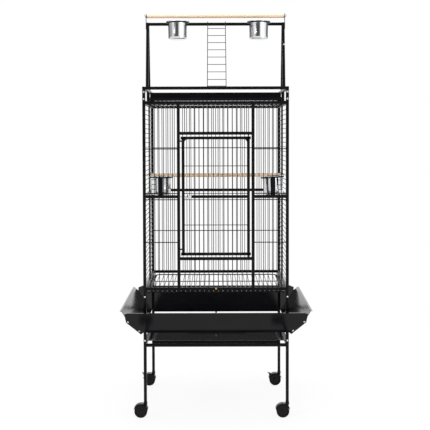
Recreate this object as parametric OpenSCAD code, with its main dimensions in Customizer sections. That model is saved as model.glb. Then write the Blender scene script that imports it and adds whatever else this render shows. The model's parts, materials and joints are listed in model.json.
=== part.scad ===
// Parrot cage with a play top, on a rolling four-leg stand.
// The origin is on the floor under the middle of the cage. +Z is up and the front faces -Y.

/* [Cage body] */
// Width over the corner posts
cage_w = 610; // [600:2:620]
// Depth over the corner posts
cage_d = 559; // [550:1:570]
// Side of the square frame tube
tube = 12.7; // [12.2:0.1:13.2]
// Wall of the hollow stand legs
tube_wall = 1; // [0.8:0.1:1.4]
// Diameter of the bars
wire_d = 3; // [2.6:0.1:3.4]
// Diameter of the cross wires that tie the bars together
tie_d = 4; // [3.6:0.1:4.4]
// Spacing that the bars aim for
bar_pitch = 19.6; // [18:0.2:24]

/* [Heights] */
// Bottom of the leg tubes
leg_bottom_z = 65; // [65:1:66]
// Joint between the stand legs and the cage posts
leg_top_z = 530; // [529:0.5:531]
// Middle of the stand's lower rails
stand_rail_z = 305; // [303:1:306]
// Middle of the cage's bottom rails
bottom_rail_z = 543; // [542.5:0.5:544]
// Middle of the cage's waist rails
mid_rail_z = 930; // [925:1:935]
// Middle of the cage's top rails
top_rail_z = 1321; // [1320:0.5:1321]
// Middle of the play top's base rails
play_rail_z = 1382; // [1380:1:1386]
// Middle of the play top's crossbar
crossbar_z = 1677; // [1670:1:1684]
// Middle of the wooden perch on the play top
top_perch_z = 1712; // [1708:1:1720]
// Middle of the wooden perch in the cage
cage_perch_z = 1010; // [1009:0.5:1011]

/* [Main door] */
// Distance between the middles of the two door posts
door_post_gap = 311; // [305:1:315]
// Middle of the rail over the door
door_head_z = 1194; // [1190:1:1200]
// Middle of the rail under the door
door_sill_z = 670; // [664:1:674]
// Side of the door's own frame tube
door_tube = 12; // [11:0.5:12]
// Clear gap between the door frame and the opening
door_gap = 7; // [6:0.5:8]

/* [Seed guards] */
// Height of the guards' lower edge
guard_low_z = 360; // [356:1:364]
// Height of the guards' upper edge
guard_high_z = 459; // [450:1:464]
// How far the guards flare out beyond the cage, without the hem
guard_flare = 86; // [80:1:90]
// Extra flare of the front and rear guards
guard_extra = 14; // [10:1:18]
// Thickness of the sheet metal
sheet_t = 1.2; // [1:0.1:1.4]
// Width of the flat hem along each upper edge
hem_w = 8; // [6:1:10]

/* [Casters] */
// Radius of the caster wheels
wheel_r = 27; // [26:0.5:27]
// How far each wheel trails behind its leg
trail = 19; // [18:0.5:20]

/* [Cups and perches] */
// Radius of a cup's rim
cup_rim_r = 51; // [50:0.5:51]
// Radius of a cup's body
cup_r = 42; // [41:0.5:42]
// Height of a cup
cup_h = 78; // [72:1:78]
// Diameter of the wooden perches
perch_d = 16; // [14:0.5:18]
// Lean of the cup at the front right of the cage, in degrees
cup_lean = 4; // [0:1:5]

/* [Ladder] */
// Distance between the middles of the ladder's rails
ladder_w = 78; // [70:1:86]
// Number of rungs
rungs = 8; // [6:1:8]
// Spacing of the rungs
rung_pitch = 44.7; // [40:0.1:45]
// How far the ladder hangs to the right of the cage's middle
ladder_x = 5; // [-80:1:80]

/* [Hidden] */
$fn = 32;
EPS = 0.05;                             // running clearance on a radius
BITE = 1;                               // how deep a welded wire end runs into a tube
CLEAR = 0.3;                            // gap between parts that slide past each other

px = cage_w / 2 - tube / 2;             // middles of the corner posts
py = cage_d / 2 - tube / 2;
ix = px - tube / 2;                     // inner faces of the corner posts
iy = py - tube / 2;
door_px = door_post_gap / 2;            // middles of the door posts
door_ix = door_px - tube / 2;           // clear half width of the door opening
post_top_z = top_rail_z + tube / 2;
play_low_z = post_top_z + CLEAR;        // underside of the play top's corner posts
play_high_z = play_rail_z - tube / 2;   // underside of the play top's rails
bore_side = tube - 2 * tube_wall;
spigot_h = 30;                          // how far each leg reaches into its cage post
leg_bolt_zs = [325, 509];
play_bolt_zs = [play_low_z + 9, play_high_z - 10];

door_x = door_ix - door_gap;            // half width of the door
stile_x = door_x - door_tube / 2;
door_low_z = door_sill_z + tube / 2 + door_gap;
door_high_z = door_head_z - tube / 2 - door_gap;
pin_r = 2.5;
pin_reach = 12;                         // how far each hinge pin enters its stile
door_bar_y = -py + 2.9;                 // the door's bars lie behind the latch bolt

latch_y = -py - 1.75;
latch_z = mid_rail_z;
latch_rod_r = 2.5;
latch_tip_x = -door_ix - 4;
latch_end_x = -door_x + 38;
latch_bar_x = latch_end_x + 3;          // where the door's waist bar starts
latch_travel = 11;
latch_handle_x = -door_x + 23.5;

guard_iy = cage_d / 2 + 0.1;            // inner faces of the guards at their lower edge
guard_ix = cage_w / 2 + 0.1;
guard_oy = cage_d / 2 + guard_flare + guard_extra;
guard_ox = cage_w / 2 + guard_flare;
guard_cut_x = guard_ox - 32;            // ends of the straight upper edges
guard_cut_y = guard_oy - 42;
// Half outline of an end guard as [x, z], from the end of its upper edge down to its foot.
guard_ear = [[guard_cut_x, guard_high_z], [guard_ox - 14.5, guard_high_z - 6],
             [guard_ox - 18, guard_high_z - 47], [guard_ix + 11, guard_low_z - 9.5],
             [guard_ix + 0.3, guard_low_z]];
guard_bolt_spots = [[guard_ox - 26, guard_high_z - 43.5], [guard_ix + 16.5, guard_low_z + 9]];
guard_bolt_r = 2.5;

tray_floor_z = stand_rail_z + tube / 2 + 2.2;
tray_lip_z = 323.5;
tray_hx = 264.5;
tray_front_y = -cage_d / 2 + 6;

grate_z = 529.6;
grate_hx = 284;
grate_rod_d = 5;
grate_front_y = -py + 2;
grate_rear_y = py - 10;
grate_corner_r = 30;

play_tray_hx = 272;
play_tray_z = play_low_z + 1.6;
play_tray_front_h = 34;
runner_t = 1.2;

support_spread = 62;                    // the supports' feet, before and behind the middle
support_top_z = crossbar_z + tube / 2;
support_foot_z = play_rail_z + tube / 2;
bracket_t = 2;
bracket_w = 24;

top_cup_xs = [-164.5, 188.5];
top_cup_y = -62;
top_cup_z = 1682;                       // rims of the cups on the crossbar
cage_cup_xs = [-231, 239];
cage_cup_y = -iy + cup_rim_r + 2.5;
cage_cup_z = 1014;
rim_t = 2.6;
ring_wire_d = 5;
ring_r = cup_rim_r - 3;
ring_drop = rim_t + CLEAR + ring_wire_d / 2;

ladder_hook_r = tube * sqrt(2) / 2 + 2;
ladder_wire_d = 3;
// The ladder rests on the rear top edge of the play top's front rail.
rest_y = iy;
rest_drop = crossbar_z - play_rail_z - tube / 2;
ladder_offset = ladder_hook_r - ladder_wire_d / 2 - 0.2;
ladder_lean = acos(ladder_offset / norm([rest_y, rest_drop])) - atan2(rest_drop, rest_y);
ladder_len = rest_y * sin(ladder_lean) + rest_drop * cos(ladder_lean);
first_rung = 41.3;

hood_r = wheel_r + 4;
web_half = 4.5;
wheel_in = web_half + 0.8;
wheel_w = 12;
axle_r = 3;
stem_r = 4;
collar_top_z = leg_bottom_z - 2.8;
lever_pivot = (hood_r + 4.5) / sqrt(2);
lever_pin_r = 2;
lever_half = 9;

// ---- helpers ----

module bar_x(x0, x1, y, z, s = tube)
  translate([x0, y - s / 2, z - s / 2]) cube([x1 - x0, s, s]);

module bar_y(x, y0, y1, z, s = tube)
  translate([x - s / 2, y0, z - s / 2]) cube([s, y1 - y0, s]);

module bar_z(x, y, z0, z1, s = tube)
  translate([x - s / 2, y - s / 2, z0]) cube([s, s, z1 - z0]);

module rod_x(x0, x1, y, z, d = wire_d)
  translate([x0, y, z]) rotate([0, 90, 0]) cylinder(d = d, h = x1 - x0);

module rod_y(x, y0, y1, z, d = wire_d)
  translate([x, y0, z]) rotate([-90, 0, 0]) cylinder(d = d, h = y1 - y0);

module rod_z(x, y, z0, z1, d = wire_d)
  translate([x, y, z0]) cylinder(d = d, h = z1 - z0);

// Even places between two faces, as near to the bar pitch as they can be.
function places(a, b) =
  let (n = round((b - a) / bar_pitch))
  [for (i = [1 : n - 1]) a + i * (b - a) / n];

function unit(v) = v / norm(v);
function between(a, b, t) = a + (b - a) * t;

// A flat sheet through points that lie in one plane, with its thickness along the normal.
module sheet(points, t = sheet_t, shift = 0) {
  o = points[0];
  u = unit(points[1] - o);
  n = unit(cross(points[1] - o, points[2] - o));
  v = cross(n, u);
  multmatrix([[u.x, v.x, n.x, o.x], [u.y, v.y, n.y, o.y], [u.z, v.z, n.z, o.z], [0, 0, 0, 1]])
    translate([0, 0, shift])
      linear_extrude(t)
        polygon([for (p = points) [(p - o) * u, (p - o) * v]]);
}

// Places its children with +Z along the given direction.
module aim(at, dir)
  translate(at)
    rotate([0, acos(dir.z / norm(dir)), atan2(dir.y, dir.x)])
      children();

// A pan-head bolt whose head stands on the XY plane and whose shank goes down.
module bolt(head_r = 4, head_h = 2.4, shank_r = 2.5, shank = 5) {
  intersection() {
    translate([0, 0, head_h - 5.2]) sphere(r = 5.2);
    cylinder(r = head_r, h = head_h);
  }
  translate([0, 0, -shank]) cylinder(r = shank_r, h = shank + 0.5);
}

// ---- stand ----

// A hollow tube whose filled upper end has a spigot for the cage post above it.
module leg(sx, sy)
  color("#1a1a1c")
    difference() {
      union() {
        bar_z(sx * px, sy * py, leg_bottom_z, leg_top_z);
        bar_z(sx * px, sy * py, leg_top_z - 1, leg_top_z + spigot_h, bore_side - 0.3);
      }
      bar_z(sx * px, sy * py, leg_bottom_z - 1, leg_bolt_zs[1] - 14, bore_side);
      for (z = leg_bolt_zs)
        aim([sx * px, sy * (py + tube / 2), z], [0, -sy, 0]) cylinder(r = 2.6, h = 6);
    }

module leg_front_left() { leg(-1, -1); }
module leg_front_right() { leg(1, -1); }
module leg_rear_left() { leg(-1, 1); }
module leg_rear_right() { leg(1, 1); }

module stand_rails() {
  color("#1a1a1c") {
    for (sy = [-1, 1]) bar_x(-ix, ix, sy * py, stand_rail_z);
    for (sx = [-1, 1]) bar_y(sx * px, -iy, iy, stand_rail_z);
  }
}

// Angle strips on the side rails that carry the pull-out tray by its lips.
module tray_runners() {
  web_x = px + 1;
  rail_top = stand_rail_z + tube / 2;
  flange_z = tray_lip_z - 1.5 - CLEAR;
  color("#1a1a1c")
    for (sx = [-1, 1])
      translate([0, -iy + 1, 0]) rotate([90, 0, 0]) mirror([0, 0, 1])
        linear_extrude(2 * iy - 2)
          polygon([[sx * (web_x + 1.5), rail_top], [sx * (web_x + 1.5), flange_z + 1.5],
                   [sx * (tray_hx + 3), flange_z + 1.5], [sx * (tray_hx + 3), flange_z],
                   [sx * web_x, flange_z], [sx * web_x, rail_top]]);
}

// Plastic plugs in the leg ends that hold the caster stems.
module leg_sockets() {
  color("#202022")
    for (sx = [-1, 1], sy = [-1, 1])
      difference() {
        union() {
          bar_z(sx * px, sy * py, leg_bottom_z, leg_bottom_z + 30, bore_side - 0.2);
          bar_z(sx * px, sy * py, leg_bottom_z - 2.5, leg_bottom_z, tube + 2.6);
        }
        translate([sx * px, sy * py, leg_bottom_z - 3]) cylinder(r = stem_r + EPS, h = 40);
      }
}

// Two bolts through the outer face of each leg and each post of the play top.
module frame_bolts()
  color("#c9cbce")
    for (sx = [-1, 1], sy = [-1, 1], z = concat(leg_bolt_zs, play_bolt_zs))
      aim([sx * px, sy * (py + tube / 2), z], [0, sy, 0]) bolt();

// ---- cage ----

// A corner post whose open foot slides over the spigot of the leg below it.
module corner_post(sx, sy)
  difference() {
    bar_z(sx * px, sy * py, leg_top_z, post_top_z);
    bar_z(sx * px, sy * py, leg_top_z - 1, leg_top_z + spigot_h + 2, bore_side);
  }

// Upright bars with ties behind them, between x0 and x1 and between two rails.
module upright_bars(x0, x1, z0, z1, y, ties, back) {
  for (x = places(x0, x1)) rod_z(x, y, z0 - BITE, z1 + BITE);
  for (z = ties) rod_x(x0 - BITE, x1 + BITE, y + back, z, tie_d);
}

tie_back = (wire_d + tie_d) / 2 - 0.6;
upper_tie_z = mid_rail_z + 199;
lower_tie_z = mid_rail_z - 192;
waist_ties = [mid_rail_z - 13, mid_rail_z + 13];

// One side of the front: corner post, door post, three rails and the bars between them.
module front_wing(s) {
  inner = door_px + tube / 2;
  x0 = s < 0 ? -ix : inner;
  x1 = s < 0 ? -inner : ix;
  color("#1a1a1c")
    difference() {
      union() {
        corner_post(s, -1);
        bar_z(s * door_px, -py, bottom_rail_z - tube / 2, post_top_z);
        for (z = [bottom_rail_z, mid_rail_z, top_rail_z])
          bar_x(x0 - BITE, x1 + BITE, -py, z);
        upright_bars(x0, x1, bottom_rail_z + tube / 2, mid_rail_z - tube / 2, -py,
                     [lower_tie_z, waist_ties[0]], tie_back);
        upright_bars(x0, x1, mid_rail_z + tube / 2, top_rail_z - tube / 2, -py,
                     [upper_tie_z, waist_ties[1]], tie_back);
      }
      if (s < 0)
        rod_x(-door_ix - 8, -door_ix + 1, latch_y, latch_z, 2 * latch_rod_r + 1.8);
    }
}

module front_left_wing() { front_wing(-1); }
module front_right_wing() { front_wing(1); }

module front_upper_panel()
  color("#1a1a1c") {
    bar_x(-door_ix, door_ix, -py, top_rail_z);
    bar_x(-door_ix, door_ix, -py, door_head_z);
    upright_bars(-door_ix, door_ix, door_head_z + tube / 2, top_rail_z - tube / 2, -py, [], 0);
  }

module front_lower_panel()
  color("#1a1a1c") {
    bar_x(-door_ix, door_ix, -py, bottom_rail_z);
    bar_x(-door_ix, door_ix, -py, door_sill_z);
    upright_bars(-door_ix, door_ix, bottom_rail_z + tube / 2, door_sill_z - tube / 2, -py, [], 0);
  }

module back_panel()
  color("#1a1a1c") {
    for (s = [-1, 1]) corner_post(s, 1);
    for (z = [bottom_rail_z, mid_rail_z, top_rail_z]) bar_x(-ix - BITE, ix + BITE, py, z);
    upright_bars(-ix, ix, bottom_rail_z + tube / 2, top_rail_z - tube / 2, py,
                 [lower_tie_z, upper_tie_z], -tie_back);
  }

// A side of the cage: three rails, level bars, thin end wires and one upright strap.
module side_panel(s) {
  end_y = iy - wire_d / 2 - 0.2;
  strap_d = 5;
  strap_y = -12;
  strap_x = s * (px - (wire_d + strap_d) / 2 + 0.6);
  end_x = s * (px - wire_d + 0.6);
  low = bottom_rail_z + tube / 2;
  high = top_rail_z - tube / 2;
  levels = concat(places(low, mid_rail_z - tube / 2), places(mid_rail_z + tube / 2, high));
  color("#1a1a1c") {
    for (z = [bottom_rail_z, mid_rail_z, top_rail_z]) bar_y(s * px, -iy + 0.1, iy - 0.1, z);
    for (z = levels) rod_y(s * px, -iy + 0.1, iy - 0.1, z);
    for (e = [-1, 1]) rod_z(end_x, e * end_y, low - BITE, high + BITE);
    rod_z(strap_x, strap_y, low - BITE, high + BITE, strap_d);
  }
}

module left_panel() { side_panel(-1); }
module right_panel() { side_panel(1); }

module roof_panel() {
  edge = 8;
  roof_x = ix - 1;
  roof_y = iy - 0.3;
  color("#1a1a1c") {
    for (s = [-1, 1]) bar_x(-roof_x, roof_x, s * (roof_y - edge / 2), top_rail_z - 1, edge);
    for (x = places(-roof_x, roof_x))
      rod_y(x, -roof_y + edge - BITE, roof_y - edge + BITE, top_rail_z - 2.4);
    rod_x(-roof_x, roof_x, 0, top_rail_z - 2.4 + tie_back, tie_d);
  }
}

// Diamond plates on the inside of the back's waist rail.
module rear_rail_caps()
  color("#161618")
    for (s = [-1, 1])
      translate([s * 100, iy - 4, mid_rail_z])
        rotate([0, 45, 0]) translate([-5, 0, -5]) cube([10, 4, 10]);

// ---- main door ----

module main_door() {
  low = door_low_z + door_tube / 2;
  high = door_high_z - door_tube / 2;
  in_x = door_x - door_tube;
  gusset = 14;
  y = -py;
  color("#1a1a1c")
    difference() {
      union() {
        for (s = [-1, 1]) bar_z(s * stile_x, y, door_low_z, door_high_z, door_tube);
        for (z = [low, high]) bar_x(-door_x - 4, door_x + 4, y, z, door_tube);
        bar_x(latch_bar_x, in_x + BITE, y, mid_rail_z, door_tube);
        for (x = places(-in_x, in_x))
          rod_z(x, door_bar_y, low, high);
        for (z = concat(waist_ties, [mid_rail_z + 128, mid_rail_z - 119]))
          rod_x(-in_x - BITE, in_x + BITE, door_bar_y - 2.4, z);
        for (s = [-1, 1])
          translate([0, y - 2, 0]) rotate([90, 0, 0]) mirror([0, 0, 1])
            linear_extrude(4)
              polygon([[s * (in_x + 1), high - gusset - 5], [s * (in_x + 1), high],
                       [s * (in_x - gusset), high], [s * (in_x - gusset), high - 4.5]]);
      }
      for (z = [door_low_z - 1, door_high_z - pin_reach - 1])
        rod_z(stile_x, y, z, z + pin_reach + 2, 2 * (pin_r + EPS));
      rod_x(-door_x - 1, -in_x + 1, latch_y, latch_z, 2 * (latch_rod_r + EPS));
      rod_x(latch_bar_x - 1, latch_bar_x + 16, latch_y, latch_z, 2 * (latch_rod_r + EPS));
    }
}

// Fixed pins above and below the hinge stile, with a collar under the door.
module door_hinge_pins()
  color("#2a2a2c") {
    sill_top = door_sill_z + tube / 2;
    head_low = door_head_z - tube / 2;
    rod_z(stile_x, -py, sill_top, door_low_z + pin_reach - 0.5, 2 * pin_r);
    rod_z(stile_x, -py, sill_top, door_low_z - CLEAR, 4 * pin_r);
    rod_z(stile_x, -py, door_high_z - pin_reach + 0.5, head_low, 2 * pin_r);
  }

// Small tabs behind the door's closing edge that stop it swinging inwards.
module door_stops()
  color("#1a1a1c")
    for (z = [door_low_z + 22, door_high_z - 22])
      translate([-door_ix - 4, -iy, z]) cube([door_gap + 12, 2, 6]);

// Sliding bolt with a plated finger plate.
module door_latch()
  color("#b9bec4") {
    plate_y = -py - door_tube / 2 - CLEAR;
    rod_x(latch_tip_x, latch_end_x + 7, latch_y, latch_z, 2 * latch_rod_r);
    rod_y(latch_handle_x, plate_y - 0.4, latch_y, latch_z, 4);
    translate([latch_handle_x, plate_y, latch_z]) rotate([90, 0, 0])
      linear_extrude(2)
        difference() {
          polygon([[-10, -10], [10, -10], [5.5, 10], [-5.5, 10]]);
          translate([0, -5.5]) polygon([[-4, -2], [4, -2], [3, 1.5], [-3, 1.5]]);
        }
  }

module front_knob()
  color("#b08a3e")
    aim([0, -py - tube / 2, bottom_rail_z + 0.5], [0, -1, 0]) {
      cylinder(r = 4.6, h = 4);
      translate([0, 0, 3.9]) cylinder(r1 = 4.2, r2 = 2.8, h = 1.8);
    }

// ---- grate and trays ----

module grate_runners() {
  top = grate_z - grate_rod_d / 2 - CLEAR;
  color("#1a1a1c")
    for (sx = [-1, 1])
      translate([0, -iy + 1, 0]) rotate([90, 0, 0]) mirror([0, 0, 1])
        linear_extrude(2 * iy - 2)
          polygon([[sx * ix, bottom_rail_z - tube / 2], [sx * ix, top - 1.5],
                   [sx * (ix - 14), top - 1.5], [sx * (ix - 14), top],
                   [sx * (ix - 1.5), top], [sx * (ix - 1.5), bottom_rail_z - tube / 2]]);
}

module grate() {
  r = grate_corner_r;
  hx = grate_hx;
  color("#1a1a1c") {
    rod_x(-hx - 2, hx + 2, grate_front_y, grate_z, grate_rod_d);
    rod_x(-hx + r, hx - r, grate_rear_y, grate_z, grate_rod_d);
    for (s = [-1, 1]) {
      rod_y(s * hx, grate_front_y, grate_rear_y - r, grate_z, grate_rod_d);
      translate([s * (hx - r), grate_rear_y - r, grate_z])
        rotate([0, 0, s > 0 ? 0 : 90])
          rotate_extrude(angle = 90) translate([r, 0]) circle(d = grate_rod_d);
    }
    for (x = places(-hx, hx))
      rod_y(x, grate_front_y, grate_rear_y - (abs(x) > hx - r ? r - sqrt(max(0,
            r * r - pow(abs(x) - hx + r, 2))) : 0), grate_z);
    for (y = [grate_front_y + 163, grate_front_y + 326])
      rod_x(-hx + 8, hx - 8, y, grate_z - 2.4, tie_d);
  }
}

// Shallow sheet pan that hangs from its side lips. It pulls out to the front.
module bottom_tray() {
  depth = 2 * iy - 8;
  lip_out = 22;
  color("#141416")
    translate([0, tray_front_y, 0]) {
      translate([-tray_hx, 0, tray_floor_z]) cube([2 * tray_hx, depth, sheet_t]);
      for (s = [-1, 1]) {
        translate([s > 0 ? tray_hx - sheet_t : -tray_hx, 0, tray_floor_z])
          cube([sheet_t, depth, tray_lip_z + 1 - tray_floor_z]);
        translate([s > 0 ? tray_hx - sheet_t : -tray_hx - lip_out, 8, tray_lip_z])
          cube([lip_out + sheet_t, depth - 8, 1]);
      }
      for (y = [0, depth - sheet_t])
        translate([-tray_hx, y, tray_floor_z])
          cube([2 * tray_hx, sheet_t, tray_lip_z + 1.5 - tray_floor_z]);
      translate([-tray_hx, -4, tray_lip_z + 0.5]) cube([2 * tray_hx, 4 + sheet_t, 1]);
    }
}

// ---- seed guards ----

// The value between a and b that belongs to height z on the guards' slope.
function up_slope(z, a, b) = between(a, b, (z - guard_low_z) / (guard_high_z - guard_low_z));
// A point of the end guard's plane, and of the plane where side and end guards meet.
function on_end(sx, sy, p) = [sx * p[0], sy * up_slope(p[1], guard_iy, guard_oy), p[1]];
function seam(z, out = 0) = [up_slope(z, guard_ix, guard_ox) + out, z];
function end_normal(sy) = unit([0, sy * (guard_high_z - guard_low_z), guard_iy - guard_oy]);
function side_normal(sx) = unit([sx * (guard_high_z - guard_low_z), 0, guard_ix - guard_ox]);

// A sheet through the points, on the outer or the inner side of their plane.
module guard_sheet(points, normal, outer = true) {
  along = cross(points[1] - points[0], points[2] - points[0]) * normal > 0;
  sheet(points, sheet_t, along == outer ? 0 : -sheet_t);
}

// The bolt holes of one corner.
module ear_holes(sx, sy)
  for (b = guard_bolt_spots)
    aim(on_end(sx, sy, b), end_normal(sy))
      translate([0, 0, -4]) cylinder(r = guard_bolt_r + 0.1, h = 8);

// A flat sheet with an ear at each end that reaches past the side guard.
module guard_end(sy) {
  flange_x = sy < 0 ? 121 : guard_ix - 2;
  flange_h = sy < 0 ? 7 : 10;
  last = len(guard_ear) - 1;
  color("#222224") {
    difference() {
      guard_sheet(concat([for (p = guard_ear) on_end(1, sy, p)],
                         [for (i = [last : -1 : 0]) on_end(-1, sy, guard_ear[i])]),
                  end_normal(sy));
      for (sx = [-1, 1]) ear_holes(sx, sy);
    }
    translate([-guard_cut_x, sy > 0 ? guard_oy - 0.4 : -guard_oy - hem_w + 0.4, guard_high_z - 0.6])
      cube([2 * guard_cut_x, hem_w, sheet_t]);
    translate([-flange_x, sy > 0 ? guard_iy : -guard_iy - sheet_t, guard_low_z - flange_h])
      cube([2 * flange_x, sheet_t, flange_h + 0.5]);
  }
}

module seed_guard_front() { guard_end(-1); }
module seed_guard_rear() { guard_end(1); }

// A flat sheet whose ends turn outwards into flanges, bolted behind the end guards' ears.
module guard_side(sx) {
  back = 1.2;                           // keeps the sheet behind the end guards' planes
  bend_z = guard_high_z - 19;           // top of the bend, where the corner cut ends
  bend_y = up_slope(bend_z, guard_iy, guard_oy) - back;
  foot_y = guard_iy - back;
  half = [[foot_y, guard_low_z], [bend_y, bend_z], [guard_cut_y, guard_high_z]];
  flange = [seam(bend_z), [guard_ox - 20.5, guard_high_z - 44],
            [guard_ix + 11, guard_low_z - 5], seam(guard_low_z + 2)];
  color("#222224") {
    guard_sheet([for (e = [1, -1], i = [0 : 2])
                   let (h = half[e > 0 ? i : 2 - i])
                     [sx * up_slope(h[1], guard_ix, guard_ox), e * h[0], h[1]]],
                side_normal(sx));
    for (sy = [-1, 1])
      difference() {
        guard_sheet([for (p = flange) on_end(sx, sy, p)], end_normal(sy), false);
        ear_holes(sx, sy);
      }
    hem_y = guard_cut_y - 0.5;          // ends just short of the corner cut
    translate([sx > 0 ? guard_ox - 0.4 : -guard_ox - hem_w + 0.4, -hem_y, guard_high_z - 0.6])
      cube([hem_w, 2 * hem_y, sheet_t]);
  }
}

module seed_guard_left() { guard_side(-1); }
module seed_guard_right() { guard_side(1); }

module seed_guard_bolts()
  color("#c9cbce")
    for (sx = [-1, 1], sy = [-1, 1], b = guard_bolt_spots) {
      n = end_normal(sy);
      spot = on_end(sx, sy, b);
      aim(spot + sheet_t * n, n) bolt(4.4, 2.2, guard_bolt_r, 2 * sheet_t + 3);
      aim(spot - sheet_t * n, -n) cylinder(r = 3.6, h = 2.6, $fn = 6);
    }

// Thumb screws that hang under the middle of the front and rear guards.
module seed_guard_screws()
  color("#101012")
    for (sy = [-1, 1])
      translate([0, sy * (guard_iy + sheet_t + 1.9), guard_low_z - 16]) {
        cylinder(r = 4, h = 6);
        translate([0, 0, 5.9]) cylinder(r = 1.8, h = 6);
      }

// ---- play top ----

// Four corner posts, and one halfway along each side that stands on the tray's runner.
module play_top_posts()
  color("#1a1a1c")
    for (sx = [-1, 1]) {
      for (sy = [-1, 1])
        difference() {
          bar_z(sx * px, sy * py, play_low_z, play_high_z);
          for (z = play_bolt_zs)
            aim([sx * px, sy * (py + tube / 2), z], [0, -sy, 0]) cylinder(r = 2.6, h = 6);
        }
      bar_z(sx * px, 0, play_low_z + runner_t, play_high_z);
    }

module play_top_rails()
  color("#1a1a1c") {
    for (sy = [-1, 1]) bar_x(-px - tube / 2, px + tube / 2, sy * py, play_rail_z);
    for (sx = [-1, 1]) bar_y(sx * px, -iy, iy, play_rail_z);
  }

module play_tray_runners() {
  z = play_low_z;
  rib_x = play_tray_hx + 1.5;
  color("#1a1a1c")
    for (sx = [-1, 1])
      translate([0, -iy + 1, 0]) rotate([90, 0, 0]) mirror([0, 0, 1])
        linear_extrude(2 * iy - 2)
          polygon([[sx * (px + 4), z], [sx * (px + 4), z + runner_t],
                   [sx * (rib_x + runner_t), z + runner_t], [sx * (rib_x + runner_t), z + 17],
                   [sx * rib_x, z + 17], [sx * rib_x, z + runner_t],
                   [sx * (play_tray_hx - 14), z + runner_t], [sx * (play_tray_hx - 14), z]]);
}

// Sheet pan with a tall front wall, which pulls out over the cage roof.
module play_tray() {
  depth = 2 * iy - 6;
  front_y = -cage_d / 2;
  hx = play_tray_hx;
  wall = 16;
  color("#161618")
    translate([0, front_y, play_tray_z]) {
      translate([-hx, 0, 0]) cube([2 * hx, depth, 1]);
      translate([-hx, 0, 0]) cube([2 * hx, sheet_t, play_tray_front_h]);
      translate([-hx, 0, play_tray_front_h - 1]) cube([2 * hx, 8, 1]);
      translate([-hx, depth - sheet_t, 0]) cube([2 * hx, sheet_t, wall]);
      for (x = [-hx, hx - sheet_t]) translate([x, 0, 0]) cube([sheet_t, depth, wall]);
    }
}

// An upright made of two tubes that lean together under the crossbar's end.
module support(sx) {
  reach = support_spread - tube / 2;
  rise = support_top_z - support_foot_z;
  lean = atan2(reach, rise);
  color("#1a1a1c")
    intersection() {
      union()
        for (sy = [-1, 1])
          translate([sx * px, sy * support_spread, support_foot_z])
            rotate([sy * lean, 0, 0])
              translate([-tube / 2, -tube / 2, -20]) cube([tube, tube, rise + 60]);
      translate([sx * px - tube, -support_spread - tube, support_foot_z])
        cube([2 * tube, 2 * support_spread + 2 * tube, rise]);
    }
}

module support_left() { support(-1); }
module support_right() { support(1); }

module support_bolt() {
  z = 1584;
  lean_y = support_spread
    - (z - support_foot_z) / (support_top_z - support_foot_z) * (support_spread - tube / 2);
  color("#e6e7e9")
    aim([px + 2, -lean_y - tube / 2 - 1.7, z], [0, -1, 0]) {
      cylinder(r = 3.6, h = 2);
      translate([0, 0, -0.8]) cylinder(r = 2.4, h = 1);
    }
}

module crossbar()
  color("#1a1a1c") bar_x(-ix, ix, 0, crossbar_z);

// Upright plates on the outer faces of the supports that hold the ends of the top perch.
module perch_brackets() {
  low = crossbar_z - 22;
  color("#3a3a3c")
    for (sx = [-1, 1])
      difference() {
        translate([sx > 0 ? cage_w / 2 : -cage_w / 2 - bracket_t, 0, 0]) {
          translate([0, -bracket_w / 2, low])
            cube([bracket_t, bracket_w, top_perch_z - low]);
          rod_x(0, bracket_t, 0, top_perch_z, bracket_w);
        }
        rod_x(-cage_w, cage_w, 0, top_perch_z, 5.2);
      }
}

// A round perch with a pilot hole in each end for its screw.
module perch(half_len, z)
  color("#d9b48a")
    difference() {
      rod_x(-half_len, half_len, 0, z, perch_d);
      for (s = [-1, 1])
        rod_x(s > 0 ? half_len - 14 : -half_len - 1, s > 0 ? half_len + 1 : -half_len + 14,
              0, z, 5.2);
    }

module top_perch() { perch(cage_w / 2 - 0.2, top_perch_z); }
module cage_perch() { perch(px - wire_d / 2 - CLEAR, cage_perch_z); }

// Hanger screws with a washer and a wing nut outside the plate or the bars.
module perch_screws(plate_x, end_x, z, washer_r)
  color("#c9cbce")
    for (s = [-1, 1])
      translate([0, 0, z]) rotate([0, 0, s > 0 ? 0 : 180]) {
        rod_x(end_x - 10, plate_x + 9, 0, 0, 5);
        rod_x(plate_x, plate_x + 1.5, 0, 0, 2 * washer_r);
        rod_x(plate_x + 1.4, plate_x + 6.5, 0, 0, 9);
        for (w = [-1, 1])
          translate([plate_x + 2.4, 0, 0]) rotate([w * 62, 0, 0])
            translate([0, -1, 3]) cube([6, 2, 9]);
      }

module top_perch_screws()
  perch_screws(cage_w / 2 + bracket_t, cage_w / 2, top_perch_z, 6.5);
module cage_perch_screws()
  perch_screws(px + wire_d / 2 + 0.2, px, cage_perch_z, 11);

// ---- cups ----

// A drawn steel cup with a rolled rim; its rim lies at the origin.
module cup_shape() {
  wall = 1;
  foot_r = cup_r - 2;
  color("#c4c8cc")
    rotate_extrude($fn = 64)
      polygon([[0, -cup_h], [foot_r - 4, -cup_h], [foot_r, -cup_h + 4], [cup_r, -rim_t],
               [cup_rim_r, -rim_t], [cup_rim_r, 0], [cup_rim_r - 1.2, 0],
               [cup_rim_r - 1.6, -rim_t + wall], [cup_r - wall, -rim_t + wall],
               [foot_r - wall, -cup_h + 4.4], [foot_r - 4.4, -cup_h + wall], [0, -cup_h + wall]]);
}

function cage_cup_x(s) = cage_cup_xs[s > 0 ? 1 : 0];

module at_cage_cup(s)
  translate([cage_cup_x(s), cage_cup_y, cage_cup_z])
    rotate([0, s > 0 ? -cup_lean : 0, 0]) children();

module cup_ring()
  translate([0, 0, -ring_drop])
    rotate_extrude($fn = 64) translate([ring_r, 0]) circle(d = ring_wire_d);

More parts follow.
